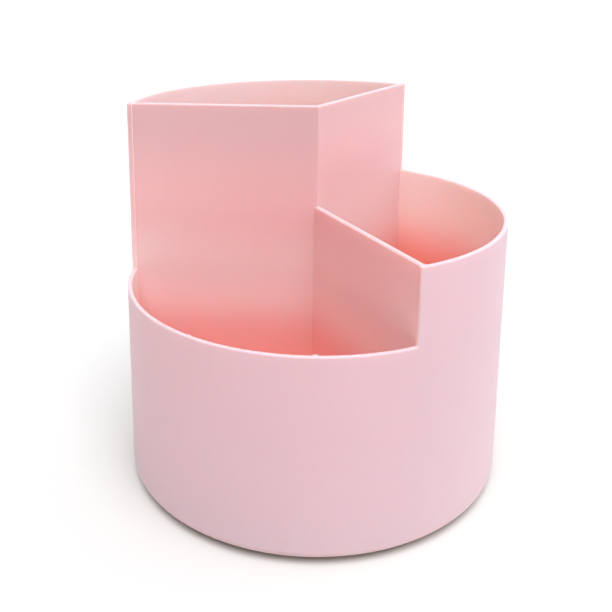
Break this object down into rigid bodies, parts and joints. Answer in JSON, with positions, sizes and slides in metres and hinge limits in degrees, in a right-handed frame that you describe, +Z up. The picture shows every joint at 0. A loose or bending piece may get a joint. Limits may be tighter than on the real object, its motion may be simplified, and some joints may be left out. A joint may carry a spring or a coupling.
{
  "type": "rotating pen holder",
  "caption": "Round pink desk pen holder whose sector compartments have stepped rims, turning freely on a ball race over a low foot hidden inside its skirt.",
  "frame": {"origin": "on the desk plane, on the turning axis, under the middle of the foot", "axes": "+Z up along the turning axis; +X through the middle of the middle compartment; the low compartment faces -Y and -X, the tall one +Y and -X"},
  "size_m": [0.1188, 0.1188, 0.1149],
  "materials": {
    "cup_plastic": "smooth satin, pale pink",
    "foot_plastic": "smooth satin, pale pink",
    "cage_plastic": "natural white",
    "ball_steel": "polished",
    "washer_steel": "zinc plated",
    "screw_steel": "zinc plated",
    "pad_rubber": "matte grey"
  },
  "bodies": {
    "foot": {"base_disc": "foot_plastic", "foot_pad_1": "pad_rubber", "foot_pad_2": "pad_rubber", "foot_pad_3": "pad_rubber", "foot_pad_4": "pad_rubber"},
    "cup": {"cup_body": "cup_plastic", "pivot_washer": "washer_steel", "pivot_screw": "screw_steel"},
    "bearing": {"ball_cage": "cage_plastic", "bearing_ball_01": "ball_steel", "bearing_ball_02": "ball_steel", "bearing_ball_03": "ball_steel", "bearing_ball_04": "ball_steel", "bearing_ball_05": "ball_steel", "bearing_ball_06": "ball_steel", "bearing_ball_07": "ball_steel", "bearing_ball_08": "ball_steel", "bearing_ball_09": "ball_steel", "bearing_ball_10": "ball_steel", "bearing_ball_11": "ball_steel", "bearing_ball_12": "ball_steel"}
  },
  "joints": [
    {"name": "cup_spin", "type": "hinge", "parent": "foot", "child": "cup", "pos_m": [0, 0, 0.005], "axis": [0, 0, 1], "continuous": true},
    {"name": "cage_spin", "type": "hinge", "parent": "foot", "child": "bearing", "pos_m": [0, 0, 0.005], "axis": [0, 0, 1], "continuous": true}
  ],
  "couplings": [
    {"joint": "cage_spin", "follows": "cup_spin", "ratio": 0.5}
  ]
}
